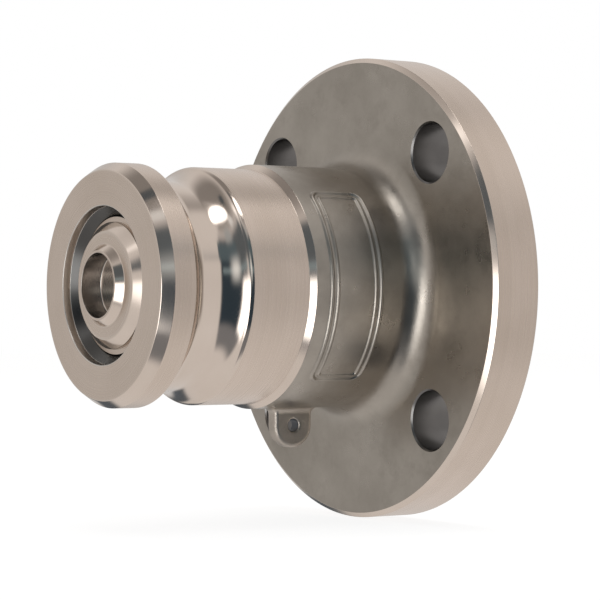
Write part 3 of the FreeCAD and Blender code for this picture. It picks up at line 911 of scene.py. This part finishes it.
def spiderArm(s, angle, rimFront, rimBack):
    # radial web whose front edge runs down to the rim
    outline = [
        (s["armRoot"], s["armFront"]), (s["armShoulder"], s["armFront"]),
        (s["armTip"] - s["tipBevel"], rimFront + s["tipInset"] / 2),
        (s["armTip"], rimFront + s["tipInset"]), (s["armTip"], rimBack - s["tipInset"]),
        (s["rimInner"] - s["armStop"], s["armBack"]), (s["armRoot"], s["armBack"]),
    ]
    bm = bmesh.new()
    verts = [bm.verts.new((r * mm, y * mm, -s["armThick"] / 2 * mm)) for r, y in outline]
    grown = bmesh.ops.extrude_face_region(bm, geom=[bm.faces.new(verts)])
    moved = [v for v in grown["geom"] if isinstance(v, bmesh.types.BMVert)]
    bmesh.ops.translate(bm, verts=moved, vec=(0, 0, s["armThick"] * mm))
    bmesh.ops.recalc_face_normals(bm, faces=bm.faces)
    toPlace = Matrix.Rotation(-math.radians(angle), 3, "Y")
    bmesh.ops.rotate(bm, verts=bm.verts, cent=(0, 0, 0), matrix=toPlace)
    return looseObject(bm, "spiderArm")


def makeSpider(s):
    front, back = nodeSpan("guide_spider")
    rimFront = back - s["rimLength"]
    hubBack = s["armBack"]
    rim = turnedPiece("guideSpider", [
        (rimFront, s["rimInner"], *roundEdge), (rimFront, s["rimOuter"], s["rimEdge"], 2),
        (back, s["rimOuter"], s["rimEdge"], 2), (back, s["rimInner"], *roundEdge),
    ], s["rimSteps"])
    hub = turnedPiece("spiderHub", [
        (front, 0), (front, s["hubRadius"]), (hubBack, s["hubRadius"]), (hubBack, 0),
    ], s["hubSteps"], closed=False)
    arms = [spiderArm(s, s["firstArm"] + 360 / s["arms"] * i, rimFront, back) for i in range(s["arms"])]
    booleanWith(rim, [hub] + arms, "UNION")
    # cast look: voxels melt the joins into small fillets, then the bore is reamed
    melt = rim.modifiers.new("melt", "REMESH")
    melt.mode = "VOXEL"
    melt.voxel_size = s["voxel"] * mm
    smooth = rim.modifiers.new("smooth", "SMOOTH")
    smooth.factor = s["smoothing"]
    smooth.iterations = s["smoothPasses"]
    bore = turnedPiece("spiderBore", [
        (front - overcut, 0), (front - overcut, s["hubBore"]),
        (hubBack + overcut, s["hubBore"]), (hubBack + overcut, 0),
    ], s["boreSteps"], closed=False)
    return booleanWith(rim, [bore], "DIFFERENCE")


bushingSizes = {"radius": 7.0, "flangeRadius": 9.0, "flange": 1.5, "tailEdge": 0.2, "steps": 72}


def makeBushing(s):
    front, back = nodeSpan("stem_bushing")
    bore = stemSizes["tailRadius"] + clearance
    return turnedPiece("stemBushing", [
        (front, bore, *brokenEdge), (front, s["flangeRadius"], *brokenEdge),
        (front + s["flange"], s["flangeRadius"], *hairEdge), (front + s["flange"], s["radius"]),
        (back, s["radius"], s["tailEdge"], 2), (back, bore, *brokenEdge),
    ], s["steps"])


ringSizes = {
    "outer": 32.9, "width": 4.2, "gap": 34, "lugRadius": 3.2, "lugInset": 0.25, "eye": 1.25,
    "edge": 0.12, "edgeSegments": 2, "edgeAngle": 50, "steps": 150, "lugSteps": 40, "eyeSteps": 24,
}


def axialCylinder(name, radius, span, centre, segments):
    # plain round bar along the pipe axis; span is (front, back) and centre is (x, z)
    front, back = span
    corners = [(front, 0), (front, radius), (back, radius), (back, 0)]
    made = turnedPiece(name, corners, segments, closed=False)
    made.data.transform(Matrix.Translation((centre[0] * mm, 0, centre[1] * mm)))
    return made


def makeSnapRing(s):
    front, back = nodeSpan("retaining_ring")
    inner = s["outer"] - s["width"]
    half = math.radians(s["gap"] / 2)
    corners = [(front, inner), (front, s["outer"]), (back, s["outer"]), (back, inner)]
    ring = openRing("retainingRing", corners, math.pi / 2, half, s["steps"])
    eyeCircle = inner - s["lugRadius"] * s["lugInset"]
    lugs, eyes = [], []
    for side in (-1, 1):
        angle = -math.pi / 2 + side * (half + s["lugRadius"] / eyeCircle)
        centre = (eyeCircle * math.cos(angle), eyeCircle * math.sin(angle))
        lugs.append(axialCylinder("ringLug", s["lugRadius"], (front, back), centre, s["lugSteps"]))
        through = (front - overcut, back + overcut)
        eyes.append(axialCylinder("ringEye", s["eye"], through, centre, s["eyeSteps"]))
    booleanWith(ring, lugs, "UNION")
    booleanWith(ring, eyes, "DIFFERENCE")
    worn = ring.modifiers.new("edges", "BEVEL")
    worn.width = s["edge"] * mm
    worn.segments = s["edgeSegments"]
    worn.limit_method = "ANGLE"
    worn.angle_limit = math.radians(s["edgeAngle"])
    return ring


# investment casting left as it comes from the shell: darker and browner than the body
spiderFinish = {**castFinish, "light": "#9a9084", "dark": "#8b8275"}
spiderSteel = castStainless("castSpiderSteel", spiderFinish)
dressPiece(makeSpider(spiderSizes), "housing", [spiderSteel], node="guide_spider",
           sharp=60)
dressPiece(makeBushing(bushingSizes), "housing", [bushingPlastic], node="stem_bushing")
dressPiece(makeSnapRing(ringSizes), "housing", [stampedSteel], node="retaining_ring")
print("pipe end made")


# studio: floor, lamps, world and the photograph's camera

photoCamera = {
    "azimuth": 55.787, "elevation": -0.463, "roll": -0.021, "distance": 813.4,
    "aimedAt": (0, -0.7, 0), "aimOffset": (31.11, 3.98), "lens": 144.89, "sensor": 36, "nearest": 10,
}


def placeCamera(c):
    a, e = math.radians(c["azimuth"]), math.radians(c["elevation"])
    back = Vector((math.sin(a) * math.cos(e), -math.cos(a) * math.cos(e), math.sin(e)))
    right = Vector((math.cos(a), math.sin(a), 0))
    up = back.cross(right)
    roll = math.radians(c["roll"])
    right, up = (right * math.cos(roll) - up * math.sin(roll),
                 up * math.cos(roll) + right * math.sin(roll))
    place = (Vector(c["aimedAt"]) - right * c["aimOffset"][0] - up * c["aimOffset"][1]
             + back * c["distance"]) * mm
    data = bpy.data.cameras.new("photoCamera")
    data.lens = c["lens"]
    data.sensor_width = c["sensor"]
    data.clip_start = c["nearest"] * mm
    camera = bpy.data.objects.new("photoCamera", data)
    camera.matrix_world = Matrix.Translation(place) @ Matrix((right, up, back)).transposed().to_4x4()
    bpy.context.scene.collection.objects.link(camera)
    bpy.context.scene.camera = camera


floorSizes = {
    "drop": 0.4, "radius": 4000, "sides": 64, "colour": "#f4f4f4", "rough": 0.9,
    "glow": 0.72, "glowStrength": 1.2,
}


def makeFloor(s):
    # pale flat floor: the camera sees it nearly white, with the object's soft shadow
    bm = bmesh.new()
    height = cadLow.z - s["drop"] * mm
    bmesh.ops.create_circle(bm, cap_ends=True, radius=s["radius"] * mm, segments=s["sides"],
                            matrix=Matrix.Translation((0, 0, height)))
    floor = looseObject(bm, "studioFloor")
    material = bpy.data.materials.new("matteWhiteSweep")
    material.use_nodes = True
    tree = material.node_tree
    shader = tree.nodes["Principled BSDF"]
    shader.inputs["Base Color"].default_value = hexColour(s["colour"])
    shader.inputs["Roughness"].default_value = s["rough"]
    glow = addNode(tree, "ShaderNodeEmission", {"Color": (1, 1, 1, 1), "Strength": s["glowStrength"]})
    ray = addNode(tree, "ShaderNodeLightPath")
    share = addNode(tree, "ShaderNodeMath", {"operation": "MULTIPLY", 1: s["glow"]},
                    {0: ray.outputs["Is Camera Ray"]})
    mix = addNode(tree, "ShaderNodeMixShader", {},
                  {0: share.outputs[0], 1: shader.outputs[0], 2: glow.outputs[0]})
    tree.links.new(mix.outputs[0], tree.nodes["Material Output"].inputs["Surface"])
    floor.data.materials.append(material)
    floor.visible_glossy = False  # so that polished steel mirrors the room windows below the horizon too


# what polished metal mirrors, as (azimuth, elevation) windows in degrees round the object;
# azimuth 0 looks out from the nose and 56 is where the camera stands
roomColour = "#e6e3e1"
roomWindows = [
    {"name": "dimCeiling", "azimuth": -35, "wide": 290, "elevation": 84, "tall": 60, "soft": 24,
     "colour": "#928f8d"},
    {"name": "backCeiling", "azimuth": 155, "wide": 90, "elevation": 86, "tall": 44, "soft": 20,
     "colour": "#b2afad"},
    {"name": "leftSheet", "azimuth": -62, "wide": 120, "elevation": 0, "tall": 70, "soft": 30,
     "colour": "#cdcbc9"},
    {"name": "greySurround", "azimuth": 72, "wide": 88, "elevation": -8, "tall": 112, "soft": 14,
     "colour": "#84868a"},
    {"name": "darkRoom", "azimuth": 79, "wide": 67, "elevation": 2, "tall": 80, "soft": 10,
     "colour": "#36434e"},
    {"name": "upperGloom", "azimuth": 80, "wide": 90, "elevation": 33, "tall": 18, "soft": 8,
     "colour": "#5c6d76"},
    {"name": "darkUpperLeft", "azimuth": 34, "wide": 44, "elevation": 32, "tall": 28, "soft": 8,
     "colour": "#626a70"},
    {"name": "windowStrip", "azimuth": 66, "wide": 80, "elevation": 14.5, "tall": 5, "soft": 6,
     "colour": "#8fa3ab"},
    {"name": "windowPane", "azimuth": 66, "wide": 22, "elevation": 15, "tall": 17, "soft": 18,
     "colour": "#eef4f6", "strength": 1.15},
    {"name": "upperPane", "azimuth": 72, "wide": 22, "elevation": 49, "tall": 14, "soft": 10,
     "colour": "#b0b6b9"},
    {"name": "brightPanel", "azimuth": 34, "wide": 27, "elevation": -16, "tall": 40, "soft": 11,
     "colour": "#ffffff", "strength": 3.2},
    {"name": "darkCorner", "azimuth": -106, "wide": 30, "elevation": -28, "tall": 20, "soft": 8,
     "colour": "#5c636a"},
    {"name": "smallLamp", "azimuth": 0, "wide": 10, "elevation": 46, "tall": 9, "soft": 9,
     "colour": "#ffffff", "strength": 1.7},
    {"name": "highStrip", "azimuth": 38, "wide": 18, "elevation": 57, "tall": 9, "soft": 6,
     "colour": "#f2f5f7"},
    {"name": "darkBeam", "azimuth": -6, "wide": 32, "elevation": 71, "tall": 8, "soft": 6,
     "colour": "#47525a"},
    {"name": "dimRight", "azimuth": 165, "wide": 52, "elevation": 0, "tall": 50, "soft": 24,
     "colour": "#8b847d"},
]


def makeWorld(base, windows):
    world = bpy.data.worlds.new("studioRoom")
    world.use_nodes = True
    bpy.context.scene.world = world
    tree = world.node_tree
    towards = addNode(tree, "ShaderNodeTexCoord").outputs["Generated"]
    part = addNode(tree, "ShaderNodeSeparateXYZ", {}, {0: towards})
    height = addNode(tree, "ShaderNodeMath", {"operation": "ARCSINE"}, {0: part.outputs["Z"]}).outputs[0]

    def within(distance, size, soft):
        # 1 inside the window, 0 outside, with a soft edge
        return addNode(tree, "ShaderNodeMapRange",
                       {"interpolation_type": "SMOOTHSTEP", "From Min": math.radians((size + soft) / 2),
                        "From Max": math.radians((size - soft) / 2)}, {"Value": distance}).outputs[0]

    seen = addNode(tree, "ShaderNodeRGB").outputs[0]
    seen.default_value = hexColour(base)
    for w in windows:
        facing = addNode(tree, "ShaderNodeVectorRotate",
                         {"rotation_type": "Z_AXIS", "Angle": math.radians(-w["azimuth"])},
                         {"Vector": towards})
        flat = addNode(tree, "ShaderNodeSeparateXYZ", {}, {0: facing.outputs[0]})
        ahead = addNode(tree, "ShaderNodeMath", {"operation": "MULTIPLY", 1: -1.0}, {0: flat.outputs["Y"]})
        aside = addNode(tree, "ShaderNodeMath", {"operation": "ARCTAN2"},
                        {0: flat.outputs["X"], 1: ahead.outputs[0]})
        side = addNode(tree, "ShaderNodeMath", {"operation": "ABSOLUTE"}, {0: aside.outputs[0]}).outputs[0]
        above = addNode(tree, "ShaderNodeMath", {"operation": "SUBTRACT", 1: math.radians(w["elevation"])},
                        {0: height}).outputs[0]
        rise = addNode(tree, "ShaderNodeMath", {"operation": "ABSOLUTE"}, {0: above}).outputs[0]
        share = addNode(tree, "ShaderNodeMath", {"operation": "MULTIPLY"},
                        {0: within(side, w["wide"], w["soft"]), 1: within(rise, w["tall"], w["soft"])})
        colour = [c * w.get("strength", 1) for c in hexColour(w["colour"])[:3]] + [1]
        seen = addNode(tree, "ShaderNodeMix", {"data_type": "RGBA", "clamp_result": False, 7: colour},
                       {0: share.outputs[0], 6: seen}).outputs[2]
    room = addNode(tree, "ShaderNodeBackground", {"Strength": 1.0}, {"Color": seen})
    white = addNode(tree, "ShaderNodeBackground", {"Color": (1, 1, 1, 1), "Strength": 1.0})
    # the camera sees plain white, everything else sees the room
    ray = addNode(tree, "ShaderNodeLightPath")
    pick = addNode(tree, "ShaderNodeMixShader", {},
                   {0: ray.outputs["Is Camera Ray"], 1: room.outputs[0], 2: white.outputs[0]})
    tree.links.new(pick.outputs[0], tree.nodes["World Output"].inputs["Surface"])


# a ceiling panel that the groove mirrors, and a broad soft one that metal doesn't, for the floor's shadow
lamps = [
    {"name": "ceilingPanel", "at": (290, -50, 1000), "size": (400, 860), "power": 1.9, "mirrored": True},
    {"name": "softOverhead", "at": (-300, 100, 1300), "size": (700, 700), "power": 3.0, "mirrored": False},
]


def makeLamps(rows):
    # both shine straight down
    for row in rows:
        data = bpy.data.lights.new(row["name"], "AREA")
        data.shape = "ELLIPSE"
        data.size, data.size_y = [v * mm for v in row["size"]]
        data.energy = row["power"]
        lamp = bpy.data.objects.new(row["name"], data)
        lamp.location = Vector(row["at"]) * mm
        lamp.visible_glossy = row["mirrored"]
        bpy.context.scene.collection.objects.link(lamp)


placeCamera(photoCamera)
makeFloor(floorSizes)
makeWorld(roomColour, roomWindows)
makeLamps(lamps)
bpy.context.scene.view_settings.view_transform = "Standard"
print("studio made")
